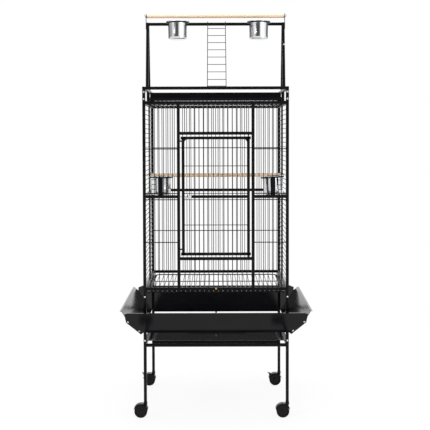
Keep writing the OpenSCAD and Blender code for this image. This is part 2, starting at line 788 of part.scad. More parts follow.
// Wire rings with a stem to the crossbar, or a strap to the cage's waist rail.
module cup_holders() {
  stem_back = -tube / 2 - top_cup_y;
  strap_low = mid_rail_z - tube / 2;
  color("#1a1a1c") {
    for (x = top_cup_xs)
      translate([x, top_cup_y, top_cup_z]) {
        cup_ring();
        translate([-10, ring_r, -ring_drop - 2]) cube([20, stem_back - ring_r, 4]);
        translate([-10, stem_back - 2, -ring_drop - 6]) cube([20, 2, 12]);
      }
    for (s = [-1, 1]) {
      at_cage_cup(s) cup_ring();
      translate([cage_cup_x(s) - 10, -iy, strap_low])
        cube([20, 2, cage_cup_z - ring_drop + 2 - strap_low]);
      translate([cage_cup_x(s) - 10, -iy, cage_cup_z - ring_drop - 2])
        cube([20, cage_cup_y + iy - ring_r, 4]);
    }
  }
}

module cup_top_left() { translate([top_cup_xs[0], top_cup_y, top_cup_z]) cup_shape(); }
module cup_top_right() { translate([top_cup_xs[1], top_cup_y, top_cup_z]) cup_shape(); }
module cup_cage_left() { at_cage_cup(-1) cup_shape(); }
module cup_cage_right() { at_cage_cup(1) cup_shape(); }

// ---- ladder ----

// Drawn hanging straight down from the crossbar, then swung forward onto its rest.
module ladder()
  color("#8a8c8f")
    translate([ladder_x, 0, crossbar_z]) rotate([-ladder_lean, 0, 0]) {
      for (s = [-1, 1]) {
        rod_z(s * ladder_w / 2, -ladder_hook_r, -ladder_len, 0, ladder_wire_d);
        translate([s * ladder_w / 2, 0, 0]) rotate([90, 0, 90]) rotate([0, 0, -30])
          rotate_extrude(angle = 210) translate([ladder_hook_r, 0]) circle(d = ladder_wire_d);
        translate([s * ladder_w / 2, -ladder_hook_r, 0]) sphere(r = ladder_wire_d / 2 + 0.6);
      }
      for (i = [0 : rungs - 1])
        rod_x(-ladder_w / 2, ladder_w / 2, -ladder_hook_r - 1.1,
              -first_rung - i * rung_pitch, ladder_wire_d - 0.4);
      rod_x(-ladder_w / 2, ladder_w / 2, -ladder_hook_r, -ladder_len + 1, ladder_wire_d - 0.4);
    }

// ---- casters ----

module at_leg(sx, sy) translate([sx * px, sy * py, 0]) children();

// Swivelling body: stem, collar, centre web and the hood over both wheels.
module caster(sx, sy, braked) {
  half = wheel_in + wheel_w;
  color("#151517")
    at_leg(sx, sy)
      difference() {
        union() {
          translate([0, 0, collar_top_z - 1]) cylinder(r = stem_r, h = 29);
          translate([0, 0, 2 * wheel_r + 0.2])
            cylinder(r = 8, h = collar_top_z - 2 * wheel_r - 0.2);
          translate([0, web_half, 0]) rotate([90, 0, 0])
            linear_extrude(2 * web_half)
              union() {
                translate([-trail, wheel_r]) circle(r = wheel_r - 5);
                polygon([[-trail, wheel_r + 15], [-trail + 15, wheel_r],
                         [8, 2 * wheel_r + 1], [-8, 2 * wheel_r + 1]]);
              }
          translate([-trail, half + 1, wheel_r]) rotate([90, 0, 0])
            linear_extrude(2 * half + 2)
              difference() {
                circle(r = hood_r);
                circle(r = wheel_r + 1.5);
                translate([-2 * hood_r, -3 * hood_r]) square([4 * hood_r, 3 * hood_r + 8]);
              }
          translate([-trail, web_half, wheel_r]) rotate([90, 0, 0])
            linear_extrude(2 * web_half)
              difference() {
                circle(r = hood_r - 1);
                circle(r = wheel_r - 7);
                translate([-2 * hood_r, -3 * hood_r]) square([4 * hood_r, 3 * hood_r + 9]);
              }
          if (braked)
            for (s = [-1, 1])
              translate([-trail, s * (lever_half + 2) + 1.5, wheel_r]) rotate([90, 0, 0])
                linear_extrude(3)
                  union() {
                    translate([-lever_pivot, lever_pivot]) circle(r = 4.2);
                    rotate(135) translate([hood_r - 1.5, -4.2]) square([5, 8.4]);
                  }
        }
        rod_y(-trail, -30, 30, wheel_r, 2 * (axle_r + EPS));
        if (braked)
          rod_y(-trail - lever_pivot, -30, 30, wheel_r + lever_pivot, 2 * (lever_pin_r + EPS));
      }
}

module caster_front_left() { caster(-1, -1, false); }
module caster_front_right() { caster(1, -1, false); }
module caster_rear_left() { caster(-1, 1, true); }
module caster_rear_right() { caster(1, 1, true); }

// Twin wheels on one axle.
module wheels(sx, sy)
  color("#0f0f11")
    at_leg(sx, sy) translate([-trail, 0, wheel_r]) {
      rod_y(0, -wheel_in - 1, wheel_in + 1, 0, 2 * axle_r);
      for (s = [-1, 1])
        translate([0, s > 0 ? wheel_in : -wheel_in - wheel_w, 0]) rotate([-90, 0, 0])
          difference() {
            cylinder(r = wheel_r, h = wheel_w, $fn = 64);
            translate([0, 0, s > 0 ? wheel_w - 3 : -1])
              difference() {
                cylinder(r = wheel_r - 5, h = 4);
                cylinder(r = 8, h = 4);
              }
          }
    }

module wheels_front_left() { wheels(-1, -1); }
module wheels_front_right() { wheels(1, -1); }
module wheels_rear_left() { wheels(-1, 1); }
module wheels_rear_right() { wheels(1, 1); }

// A foot lever on its pivot pin, behind the hood of a rear caster.
module brake_lever(sx)
  color("#151517") at_leg(sx, 1)
    translate([-trail - lever_pivot, 0, wheel_r + lever_pivot]) {
      rod_y(0, -lever_half - 3.5, lever_half + 3.5, 0, 2 * lever_pin_r);
      rod_y(0, -lever_half + 0.8, lever_half - 0.8, 0, 6.4);
      rotate([0, 42, 0])
        translate([-12, -lever_half + 1.4, -1.4]) cube([11, 2 * lever_half - 2.8, 2.8]);
    }

module brake_lever_left() { brake_lever(-1); }
module brake_lever_right() { brake_lever(1); }

leg_front_left();
leg_front_right();
leg_rear_left();
leg_rear_right();
stand_rails();
tray_runners();
leg_sockets();
frame_bolts();
front_left_wing();
front_right_wing();
front_upper_panel();
front_lower_panel();
back_panel();
left_panel();
right_panel();
roof_panel();
rear_rail_caps();
main_door();
door_hinge_pins();
door_stops();
door_latch();
front_knob();
grate_runners();
grate();
bottom_tray();
seed_guard_front();
seed_guard_rear();
seed_guard_left();
seed_guard_right();
seed_guard_bolts();
seed_guard_screws();
play_top_posts();
play_top_rails();
play_tray_runners();
play_tray();
support_left();
support_right();
support_bolt();
crossbar();
perch_brackets();
top_perch();
top_perch_screws();
cage_perch();
cage_perch_screws();
cup_holders();
cup_top_left();
cup_top_right();
cup_cage_left();
cup_cage_right();
ladder();
caster_front_left();
caster_front_right();
caster_rear_left();
caster_rear_right();
wheels_front_left();
wheels_front_right();
wheels_rear_left();
wheels_rear_right();
brake_lever_left();
brake_lever_right();
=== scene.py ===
"""Looks of the bird cage on its stand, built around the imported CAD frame. +Z up, front faces -Y."""

import json
import math
import random

import bmesh
import bpy
from mathutils import Matrix, Vector

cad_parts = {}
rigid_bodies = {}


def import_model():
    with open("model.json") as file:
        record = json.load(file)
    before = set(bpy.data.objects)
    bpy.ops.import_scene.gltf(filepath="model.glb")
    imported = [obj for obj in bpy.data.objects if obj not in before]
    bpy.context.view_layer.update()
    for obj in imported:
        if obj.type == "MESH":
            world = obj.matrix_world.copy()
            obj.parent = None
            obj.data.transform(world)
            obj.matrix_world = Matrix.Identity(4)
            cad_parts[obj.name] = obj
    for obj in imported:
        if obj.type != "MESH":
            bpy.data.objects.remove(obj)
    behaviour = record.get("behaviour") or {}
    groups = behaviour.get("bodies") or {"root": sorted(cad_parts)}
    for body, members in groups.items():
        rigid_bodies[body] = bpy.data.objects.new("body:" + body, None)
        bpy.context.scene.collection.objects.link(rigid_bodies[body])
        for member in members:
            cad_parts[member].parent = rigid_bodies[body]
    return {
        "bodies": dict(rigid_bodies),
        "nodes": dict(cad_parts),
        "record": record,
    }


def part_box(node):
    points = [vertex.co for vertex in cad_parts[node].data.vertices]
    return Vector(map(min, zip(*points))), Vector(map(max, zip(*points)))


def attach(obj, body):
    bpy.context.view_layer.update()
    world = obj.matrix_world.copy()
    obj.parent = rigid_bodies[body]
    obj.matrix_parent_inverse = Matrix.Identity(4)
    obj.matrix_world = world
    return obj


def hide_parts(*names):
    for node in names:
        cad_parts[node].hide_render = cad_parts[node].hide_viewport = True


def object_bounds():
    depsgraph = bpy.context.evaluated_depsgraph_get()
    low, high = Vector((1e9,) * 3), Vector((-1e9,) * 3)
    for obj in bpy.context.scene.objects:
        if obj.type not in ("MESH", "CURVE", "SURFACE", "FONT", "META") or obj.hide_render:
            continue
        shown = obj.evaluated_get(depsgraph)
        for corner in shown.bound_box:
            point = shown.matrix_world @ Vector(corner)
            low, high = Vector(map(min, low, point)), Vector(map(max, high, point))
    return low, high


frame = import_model()
cad_low, cad_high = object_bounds()
nodes = frame["nodes"]
slot_of = {part["node"]: part["material_slot"] for part in frame["record"]["subparts"]}
scene = bpy.context.scene
chance = random.Random(7)

# ---- camera ----

CAMERA_PLACE = (-0.0013, -4.4024, 1.1691)
CAMERA_LENS = 82.91  # mm, on a sensor 36 mm wide
CAMERA_SHIFT_Y = -0.0756
CAMERA_DOWN, CAMERA_ROLL, CAMERA_LEFT = 2.5, 0.146, 0.022  # degrees


def make_camera():
    """A long lens in front of the cage, just above the height of its middle."""
    data = bpy.data.cameras.new("camera")
    data.sensor_width = 36
    data.lens = CAMERA_LENS
    data.shift_y = CAMERA_SHIFT_Y
    camera = bpy.data.objects.new("camera", data)
    camera.location = CAMERA_PLACE
    camera.rotation_euler = (math.radians(90 - CAMERA_DOWN), math.radians(CAMERA_ROLL),
                             math.radians(CAMERA_LEFT))
    scene.collection.objects.link(camera)
    scene.camera = camera


# ---- shader helpers ----


class Nodes:
    """Adds linked shader nodes to one node tree with short calls."""

    def __init__(self, tree):
        self.tree = tree

    def add(self, kind, inputs=None, **settings):
        node = self.tree.nodes.new(kind)
        for key, value in settings.items():
            setattr(node, key, value)
        for key, value in (inputs or {}).items():
            if isinstance(value, bpy.types.NodeSocket):
                self.tree.links.new(value, node.inputs[key])
            else:
                node.inputs[key].default_value = value
        return node

    def math(self, operation, a, b=0.0):
        return self.add("ShaderNodeMath", {0: a, 1: b}, operation=operation).outputs[0]

    def spread(self, value, low, high, start=0.3, stop=0.7):
        """Maps start to stop onto low to high."""
        inputs = {"Value": value, "From Min": start, "From Max": stop, "To Min": low, "To Max": high}
        return self.add("ShaderNodeMapRange", inputs).outputs["Result"]

    def ramp(self, factor, stops):
        node = self.add("ShaderNodeValToRGB", {"Fac": factor})
        band = node.color_ramp
        while len(band.elements) < len(stops):
            band.elements.new(1.0)
        for element, (place, colour) in zip(band.elements, stops):
            element.position = place
            element.color = (*colour, 1) if hasattr(colour, "__len__") else (colour,) * 3 + (1,)
        return node.outputs["Color"]

    def mix(self, factor, a, b, blend="MIX"):
        return self.add("ShaderNodeMix", {"Factor": factor, 6: a, 7: b}, data_type="RGBA",
                        blend_type=blend).outputs[2]


def new_material(name):
    material = bpy.data.materials.new(name)
    material.use_nodes = True
    tree = material.node_tree
    return material, Nodes(tree), tree.nodes["Principled BSDF"]


def coordinates(n, scale=(1, 1, 1)):
    where = n.add("ShaderNodeTexCoord").outputs["Object"]
    return n.add("ShaderNodeMapping", {"Vector": where, "Scale": scale}).outputs["Vector"]


def noise(n, vector, scale, detail=3.0, rough=0.55):
    inputs = {"Vector": vector, "Scale": scale, "Detail": detail, "Roughness": rough}
    return n.add("ShaderNodeTexNoise", inputs).outputs["Fac"]


def bump(n, height, strength, distance, under=None):
    inputs = {"Height": height, "Strength": strength, "Distance": distance}
    if under:
        inputs["Normal"] = under
    return n.add("ShaderNodeBump", inputs).outputs["Normal"]


def coated(name, dark, light, rough, spread, peel=0.04, specular=0.3, dent=0.0, dust=0.0):
    """Paint or moulded plastic: cloudy tone, uneven gloss, a fine orange-peel skin and broad dents."""
    material, n, shader = new_material(name)
    place = coordinates(n)
    tone = n.ramp(noise(n, place, 9), [(0.3, dark), (0.7, light)])
    if dust:
        specks = n.ramp(noise(n, place, 420, 4, 0.7), [(0.60, 0.0), (0.74, dust)])
        tone = n.mix(specks, tone, (0.16, 0.155, 0.15, 1))
    n.tree.links.new(tone, shader.inputs["Base Color"])
    gloss = n.spread(noise(n, place, 60), rough - spread, rough + spread)
    n.tree.links.new(gloss, shader.inputs["Roughness"])
    skin = bump(n, noise(n, place, 900, 2), peel, 0.0004)
    if dent:
        skin = bump(n, noise(n, place, 5.5, 1), dent, 0.02, skin)
    n.tree.links.new(skin, shader.inputs["Normal"])
    shader.inputs["Specular IOR Level"].default_value = specular
    return material


def steel(name, tone, rough, spread, stretch=(1, 1, 40), grain=60, depth=0.05):
    """Bare or plated metal with a drawn grain and faint stains."""
    material, n, shader = new_material(name)
    drawn = noise(n, coordinates(n, stretch), grain, 4, 0.7)
    cloud = noise(n, coordinates(n), 25)
    low = tuple(c * 0.82 for c in tone)
    n.tree.links.new(n.ramp(cloud, [(0.3, low), (0.7, tone)]), shader.inputs["Base Color"])
    n.tree.links.new(n.spread(drawn, rough - spread, rough + spread), shader.inputs["Roughness"])
    n.tree.links.new(bump(n, drawn, depth, 0.0003), shader.inputs["Normal"])
    shader.inputs["Metallic"].default_value = 1.0
    return material


def pine(name):
    """Bare pine dowel: long streaks and a few darker flecks along X."""
    material, n, shader = new_material(name)
    streak = noise(n, coordinates(n, (0.5, 14, 14)), 26, 5, 0.6)
    fleck = noise(n, coordinates(n, (2.5, 30, 30)), 18, 3, 0.6)
    tone = n.ramp(streak, [(0.30, (0.66, 0.40, 0.22)), (0.46, (0.82, 0.60, 0.40)),
                           (0.7, (0.90, 0.74, 0.56))])
    spots = n.ramp(fleck, [(0.24, 0.6), (0.38, 1.0)])
    n.tree.links.new(n.mix(1.0, tone, spots, "MULTIPLY"), shader.inputs["Base Color"])
    n.tree.links.new(n.spread(streak, 0.62, 0.45), shader.inputs["Roughness"])
    n.tree.links.new(bump(n, streak, 0.25, 0.0006), shader.inputs["Normal"])
    return material


MATERIALS = {
    "powder_coat": coated("powder_coat", (0.002, 0.002, 0.003), (0.005, 0.005, 0.006),
                          rough=0.30, spread=0.06, peel=0.05, specular=0.12, dust=0.12),
    "sheet_black": coated("sheet_black", (0.003, 0.003, 0.004), (0.005, 0.005, 0.006),
                          rough=0.06, spread=0.01, peel=0.003, specular=0.05, dent=0.02, dust=0.03),
    "guard_black": coated("guard_black", (0.003, 0.003, 0.004), (0.005, 0.005, 0.006),
                          rough=0.135, spread=0.02, peel=0.01, specular=0.08, dent=0.02, dust=0.03),
    "cup_steel": steel("cup_steel", (0.80, 0.81, 0.82),
                       rough=0.10, spread=0.03, stretch=(1, 1, 30), grain=14, depth=0.015),
    "zinc": steel("zinc", (0.80, 0.84, 0.87),
                  rough=0.24, spread=0.06, stretch=(1, 1, 1), grain=500, depth=0.1),
    "dark_hardware": coated("dark_hardware", (0.012, 0.012, 0.013), (0.024, 0.024, 0.026),
                            rough=0.4, spread=0.08),
    "brass_knob": steel("brass_knob", (0.62, 0.42, 0.16),
                        rough=0.3, spread=0.08, stretch=(1, 1, 1), grain=400, depth=0.1),
    "perch_wood": pine("perch_wood"),
    "ladder_wire": steel("ladder_wire", (0.030, 0.031, 0.034),
                         rough=0.4, spread=0.08, stretch=(1, 1, 6), grain=300, depth=0.1),
    "caster_plastic": coated("caster_plastic", (0.003, 0.003, 0.004), (0.006, 0.006, 0.007),
                             rough=0.34, spread=0.05, peel=0.05, specular=0.16, dust=0.08),
    "wheel_plastic": coated("wheel_plastic", (0.003, 0.003, 0.004), (0.007, 0.007, 0.008),
                            rough=0.46, spread=0.05, peel=0.05, specular=0.14, dust=0.10),
}

# ---- floor, light and world ----


def make_floor():
    """A pale disc that fades into the backdrop's white far from the cage."""
    material, n, shader = new_material("floor")
    place = n.add("ShaderNodeTexCoord").outputs["Object"]
    far = n.add("ShaderNodeVectorMath", {0: place}, operation="LENGTH").outputs["Value"]
    fade = n.add("ShaderNodeMapRange", {"Value": far, "From Min": 0.9, "From Max": 3.0, "To Min": 0.9},
                 interpolation_type="SMOOTHSTEP").outputs["Result"]
    shader.inputs["Base Color"].default_value = (0.93, 0.93, 0.935, 1)
    shader.inputs["Roughness"].default_value = 0.6
    shader.inputs["Specular IOR Level"].default_value = 0.2
    glow = n.add("ShaderNodeEmission", {"Color": (1, 1, 1, 1), "Strength": 1.0})
    mix = n.add("ShaderNodeMixShader", {0: fade, 1: shader.outputs[0], 2: glow.outputs[0]})
    n.tree.links.new(mix.outputs[0], n.tree.nodes["Material Output"].inputs["Surface"])
    bm = bmesh.new()
    bmesh.ops.create_circle(bm, cap_ends=True, radius=40, segments=96)
    mesh = bpy.data.meshes.new("floor")
    bm.to_mesh(mesh)
    bm.free()
    mesh.materials.append(material)
    floor = bpy.data.objects.new("floor", mesh)
    scene.collection.objects.link(floor)


def make_world():
    """White all round for the camera. For light and reflections, soft boxes with dark gaps between them."""
    world = bpy.data.worlds.new("studio")
    world.use_nodes = True
    n = Nodes(world.node_tree)
    shade = world.node_tree.nodes["Background"]
    way = n.add("ShaderNodeSeparateXYZ", {0: n.add("ShaderNodeTexCoord").outputs["Generated"]})
    x, y, z = way.outputs
    turn = n.math("ARCTAN2", x, n.math("MULTIPLY", y, -1.0))
    place = n.math("ADD", n.math("DIVIDE", turn, 2 * math.pi), 0.5)

    def at(degrees):
        """Place on the ramp of a direction, counted from the front towards the right."""
        return degrees / 360 + 0.5

    around = n.ramp(place, [
        (at(-180), 1.6), (at(-172), 1.6), (at(-160), 0.20), (at(-118), 0.20), (at(-112), 0.42),
        (at(-77), 0.42), (at(-66), 0.9), (at(-46), 0.9), (at(-38), 0.09), (at(2), 0.09), (at(11), 0.2),
        (at(18), 1.2), (at(80), 1.2), (at(94), 0.85), (at(108), 0.15), (at(116), 0.15), (at(135), 0.5),
        (at(150), 0.5), (at(172), 1.6), (at(180), 1.6)])
    above = n.spread(z, 0.0, 1.0, 0.35, 0.75)
    light = n.mix(above, around, (1.1, 1.1, 1.12, 1))
    seen = n.add("ShaderNodeLightPath").outputs["Is Camera Ray"]
    n.tree.links.new(n.mix(seen, light, (1, 1, 1, 1)), shade.inputs["Color"])
    scene.world = world


def add_area(name, place, target, size, power):
    data = bpy.data.lights.new(name, "AREA")
    data.shape = "RECTANGLE"
    data.size, data.size_y = size
    data.energy = power
    lamp = bpy.data.objects.new(name, data)
    lamp.location = place
    lamp.rotation_euler = (Vector(target) - Vector(place)).to_track_quat("-Z", "Y").to_euler()
    lamp.visible_camera = False
    scene.collection.objects.link(lamp)


def make_lights():
    middle_of_cage = (cad_low + cad_high) / 2
    add_area("key", (-2.6, -3.4, 3.0), middle_of_cage, (1.6, 2.2), 60)
    add_area("fill", (3.0, -2.8, 1.8), middle_of_cage, (1.4, 2.4), 30)
    add_area("top", (0, 0.3, 4.2), middle_of_cage, (2.4, 2.4), 50)


# ---- dimensions in millimetres, from the CAD nodes ----


def span(node):
    low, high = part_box(node)
    return low * 1000, high * 1000


def middle(node):
    low, high = span(node)
    return (low + high) / 2


TUBE = span("crossbar")[1].z - span("crossbar")[0].z
DOOR_TUBE = 12.0
WIRE = 3.0
TIE = 4.0
SHEET = 1.2
BAR_PITCH = 19.6
HOLDER_RING_R = 48.0
HOLDER_WIRE = 5.0
HOLDER_DROP = 5.4  # from a cup's rim to the middle of its ring
STEM_INSET = 47.3  # from a cup's middle to where its stem meets the ring
CUP_RIM_R = 51.0
CUP_DRAWN_DEPTH = 75.0  # the depth that the cup's profile is written for
CUP_LEAN = 4.0
PX = middle("leg_front_right").x
PY = middle("leg_rear_right").y
IX, IY = PX - TUBE / 2, PY - TUBE / 2
STAND_Z = middle("stand_rails").z
LEG_TOP = span("front_left_wing")[0].z
LOW_Z = 543.0
MID_Z = middle("door_latch").z
TOP_Z = span("front_upper_panel")[1].z - TUBE / 2
POST_TOP = TOP_Z + TUBE / 2
HEAD_Z = span("front_upper_panel")[0].z + TUBE / 2
SILL_Z = span("front_lower_panel")[1].z - TUBE / 2
PLAY_Z = middle("play_top_rails").z
PLAY_LOW = span("play_top_posts")[0].z
BAR_Z = middle("crossbar").z
DOOR_PX = TUBE / 2 - span("front_left_wing")[1].x
DOOR_IX = DOOR_PX - TUBE / 2
TIE_BACK = (WIRE + TIE) / 2 - 0.6
TIES = {"low": MID_Z - 192, "under": MID_Z - 13, "over": MID_Z + 13, "high": MID_Z + 199}

# ---- mesh building, in millimetres ----


def places(a, b, pitch=BAR_PITCH):
    """Even places between two faces, as near to the pitch as they can be."""
    count = round((b - a) / pitch)
    return [a + i * (b - a) / count for i in range(1, count)]


def square(side, corner, steps=3, other=None):
    """A rounded square or oblong as (u, v) pairs."""
    half, tall = side / 2 - corner, (other or side) / 2 - corner
    points = []
    for k, (su, sv) in enumerate([(1, 1), (-1, 1), (-1, -1), (1, -1)]):
        for i in range(steps + 1):
            angle = math.radians(90 * (k + i / steps))
            points.append((su * half + corner * math.cos(angle), sv * tall + corner * math.sin(angle)))
    return points


def circle(radius, steps):
    return [(radius * math.cos(2 * math.pi * i / steps), radius * math.sin(2 * math.pi * i / steps))
            for i in range(steps)]


def across(way):
    """Two directions square to way and to each other."""
    way = way.normalized()
    side = Vector((0, 0, 1)) if abs(way.z) < 0.9 else Vector((1, 0, 0))
    u = (side - way * side.dot(way)).normalized()
    return u, way.cross(u)


class Shape:
    """Collects the welded, turned and folded parts of one piece."""

    def __init__(self):
        self.bm = bmesh.new()

    def loft(self, rings, closed=False):
        """Skins rings that have as many points each, with caps on an open row."""
        loops = [[self.bm.verts.new(point) for point in ring] for ring in rings]
        for a, b in zip(loops, loops[1:] + ([loops[0]] if closed else [])):
            for i in range(len(a)):
                j = (i + 1) % len(a)
                self.bm.faces.new((a[i], a[j], b[j], b[i]))
        if not closed:
            self.bm.faces.new(loops[0][::-1])
            self.bm.faces.new(loops[-1])

    def sweep(self, stations):
        """Skins profiles along a path. A station is (place, direction, (u, v) pairs)."""
        rings = []
        for place, way, profile in stations:
            u, v = across(way)
            rings.append([place + u * p + v * q for p, q in profile])
        self.loft(rings)

    def bar(self, a, b, side=TUBE, corner=1.8, other=None):
        """Square tube from a to b with rounded edges and eased ends."""
        a, b = Vector(a), Vector(b)
        way = (b - a).normalized()
        full = square(side, corner, 3, other)
        eased = square(side - 1, corner, 3, (other or side) - 1)
        self.sweep([(a, way, eased), (a + way * 0.5, way, full),
                    (b - way * 0.5, way, full), (b, way, eased)])

    def bar_x(self, x0, x1, y, z, side=TUBE):
        self.bar((x0, y, z), (x1, y, z), side)

    def bar_y(self, x, y0, y1, z, side=TUBE):
        self.bar((x, y0, z), (x, y1, z), side)

    def bar_z(self, x, y, z0, z1, side=TUBE):
        self.bar((x, y, z0), (x, y, z1), side)

    def wire(self, a, b, width=WIRE, flare=0.8, bite=1.0, bow=0.25):
        """A straight wire, a hair bowed, whose welded ends flare where they leave the tube."""
        a, b = Vector(a), Vector(b)
        way = (b - a).normalized()
        u, v = across(way)
        r = width / 2
        bend = u * chance.uniform(-bow, bow) + v * chance.uniform(-bow, bow)
        collar = [(0, flare), (bite + 0.4, flare * 0.75), (bite + 1.2, flare * 0.25), (bite + 2.6, 0)]
        stations = [(a + way * d, way, circle(r + f, 10)) for d, f in collar]
        stations.append(((a + b) / 2 + bend, way, circle(r, 10)))
        stations += [(b - way * d, way, circle(r + f, 10)) for d, f in reversed(collar)]
        self.sweep(stations)

    def wire_x(self, x0, x1, y, z, width=WIRE, **more):
        self.wire((x0, y, z), (x1, y, z), width, **more)

    def wire_y(self, x, y0, y1, z, width=WIRE, **more):
        self.wire((x, y0, z), (x, y1, z), width, **more)

    def wire_z(self, x, y, z0, z1, width=WIRE, **more):
        self.wire((x, y, z0), (x, y, z1), width, **more)

    def bent(self, points, width, steps=10):
        """A round wire through points, with its profile carried along without twisting."""
        points = [Vector(p) for p in points]
        ways = [(points[min(i + 1, len(points) - 1)] - points[max(i - 1, 0)]).normalized()
                for i in range(len(points))]
        u, v = across(ways[0])
        rings = []
        for place, way in zip(points, ways):
            u = (u - way * u.dot(way)).normalized()
            v = way.cross(u)
            rings.append([place + u * p + v * q for p, q in circle(width / 2, steps)])
        self.loft(rings)

    def turned(self, profile, at, way, steps=32, form=None):
        """A turned part. The profile is (radius, height) pairs from end to end."""
        at, way = Vector(at), Vector(way).normalized()
        u, v = across(way)
        rings = []
        for radius, height in profile:
            ring = []
            for i in range(steps):
                angle = 2 * math.pi * (i + 0.5) / steps
                reach = form(radius, angle) if form else radius
                ring.append(at + way * height + (u * math.cos(angle) + v * math.sin(angle)) * reach)
            rings.append(ring)
        self.loft(rings)

    def slab(self, outline, depth, ease=0.4):
        """A plate from an outline and a depth vector, with eased edges."""
        outline = [Vector(p) for p in outline]
        depth = Vector(depth)
        centre = sum(outline, Vector()) / len(outline)
        step = depth.normalized() * ease
        inner = [p + (centre - p).normalized() * ease for p in outline]
        self.loft([inner, [p + step for p in outline], [p + depth - step for p in outline],
                   [p + depth for p in inner]])

    def skin(self, grid, thick=SHEET):
        """A closed sheet of even thickness around a grid of points."""
        rows, columns = len(grid), len(grid[0])
        sides = []
        for sign in (1, -1):
            face = []
            for i in range(rows):
                row = []
                for j in range(columns):
                    down = grid[min(i + 1, rows - 1)][j] - grid[max(i - 1, 0)][j]
                    along = grid[i][min(j + 1, columns - 1)] - grid[i][max(j - 1, 0)]
                    normal = down.cross(along).normalized()
                    row.append(self.bm.verts.new(grid[i][j] + normal * sign * thick / 2))
                face.append(row)
            sides.append(face)
        for face in sides:
            for i in range(rows - 1):
                for j in range(columns - 1):
                    self.bm.faces.new((face[i][j], face[i][j + 1], face[i + 1][j + 1], face[i + 1][j]))
        rim = [(0, j) for j in range(columns)]
        rim += [(i, columns - 1) for i in range(1, rows)]
        rim += [(rows - 1, j) for j in range(columns - 2, -1, -1)]
        rim += [(i, 0) for i in range(rows - 2, 0, -1)]
        for (i, j), (k, m) in zip(rim, rim[1:] + rim[:1]):
            self.bm.faces.new((sides[0][i][j], sides[0][k][m], sides[1][k][m], sides[1][i][j]))

    def place(self, matrix):
        """Moves all that is in the shape so far."""
        bmesh.ops.transform(self.bm, matrix=matrix, verts=self.bm.verts)


def body_of(node):
    holder = nodes[node].parent
    return next(name for name, empty in frame["bodies"].items() if empty == holder)


def material_of(node):
    """The slot's material, except that the seed guards' paint is duller than the trays'."""
    if node.startswith("seed_guard_") and slot_of[node] == "sheet_black":
        return MATERIALS["guard_black"]
    return MATERIALS[slot_of[node]]


def finish_piece(shape, *replaced, sharp=38):
    """Turns a shape into an object that stands for CAD nodes and moves with their body."""
    name = replaced[0] + "_detail"
    mesh = bpy.data.meshes.new(name)
    bmesh.ops.recalc_face_normals(shape.bm, faces=shape.bm.faces)
    bmesh.ops.scale(shape.bm, vec=(0.001, 0.001, 0.001), verts=shape.bm.verts)
    shape.bm.to_mesh(mesh)
    shape.bm.free()
    mesh.polygons.foreach_set("use_smooth", [True] * len(mesh.polygons))
    mesh.set_sharp_from_angle(angle=math.radians(sharp))
    mesh.materials.append(material_of(replaced[0]))
    piece = bpy.data.objects.new(name, mesh)
    scene.collection.objects.link(piece)
    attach(piece, body_of(replaced[0]))
    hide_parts(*replaced)


def paint(node, ease=0.0):
    """Gives a CAD node that stays in view its material, and rounds its edges if ease is set."""
    thing = nodes[node]
    thing.data.materials.clear()
    thing.data.materials.append(material_of(node))
    if ease:
        weld = thing.modifiers.new("weld", "WELD")
        weld.merge_threshold = 0.00001
        bevel = thing.modifiers.new("ease", "BEVEL")
        bevel.width = ease / 1000
        bevel.segments = 2
        bevel.limit_method = "ANGLE"
        bevel.angle_limit = math.radians(35)
        bevel.harden_normals = False


# ---- stand ----


def make_stand():
    for side_x, sx in (("left", -1), ("right", 1)):
        for side_y, sy in (("front", -1), ("rear", 1)):
            shape = Shape()
            low = span(f"leg_{side_y}_{side_x}")[0].z
            shape.bar_z(sx * PX, sy * PY, low, LEG_TOP - 0.15)
            finish_piece(shape, f"leg_{side_y}_{side_x}")
    shape = Shape()
    for s in (-1, 1):
        shape.bar_x(-IX, IX, s * PY, STAND_Z)
        shape.bar_y(s * PX, -IY, IY, STAND_Z)
    finish_piece(shape, "stand_rails")


def hexagon(radius, angle):
    """Reach of a hexagon whose corners lie on the radius."""
    turn = (angle + math.pi / 6) % (math.pi / 3) - math.pi / 6
    return radius * math.cos(math.pi / 6) / math.cos(turn)


def socket_head(shape, at, way, radius=4.0, height=2.4):
    """A button head whose socket is sunk into the dome."""
    dome = [(radius - 0.2, 0), (radius, 0.2), (radius, height * 0.35), (radius * 0.93, height * 0.62),
            (radius * 0.78, height * 0.85), (radius * 0.60, height)]
    well = [(radius * 0.50, height - 0.1), (radius * 0.47, height - 1.3)]

    def form(reach, angle):
        return reach if reach > radius * 0.55 else hexagon(reach, angle)

    shape.turned(dome + well, at, way, 36, form)


def make_frame_bolts():
    """Two bolts through each leg and two through each post of the play top."""
    shape = Shape()
    heights = [325, 509, PLAY_LOW + 9, PLAY_Z - TUBE / 2 - 10]
    for sx in (-1, 1):
        for sy in (-1, 1):
            for z in heights:
                socket_head(shape, (sx * PX, sy * (PY + TUBE / 2), z), (0, sy, 0))
    finish_piece(shape, "frame_bolts")


# ---- cage ----


def upright_bars(shape, x0, x1, z0, z1, y, ties=(), back=0.0):
    for x in places(x0, x1):
        shape.wire_z(x, y, z0 - 1, z1 + 1)
    for z in ties:
        shape.wire_x(x0 - 1, x1 + 1, y + back, z, TIE, bow=0)


